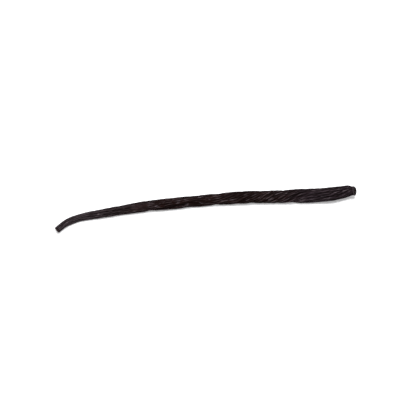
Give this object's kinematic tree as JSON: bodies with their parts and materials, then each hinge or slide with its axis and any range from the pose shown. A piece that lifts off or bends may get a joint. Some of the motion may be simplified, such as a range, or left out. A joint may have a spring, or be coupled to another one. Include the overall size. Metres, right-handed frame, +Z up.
{
  "type": "vanilla pod",
  "caption": "Cured vanilla pod lying on its side: a slender, wrinkled, near-black seed capsule with a hooked, cut stem and a blunt end with a round flower scar.",
  "frame": {"origin": "under the middle of the pod's box, on the plane it rests on", "axes": "+X from the stem end to the blossom end, +Y to the outer side of its long bow, +Z up"},
  "size_m": [0.1682, 0.018, 0.0078],
  "materials": {
    "pod_skin": "oily satin, wrinkled lengthwise"
  },
  "bodies": {
    "root": {"vanilla_pod": "pod_skin"}
  },
  "joints": []
}
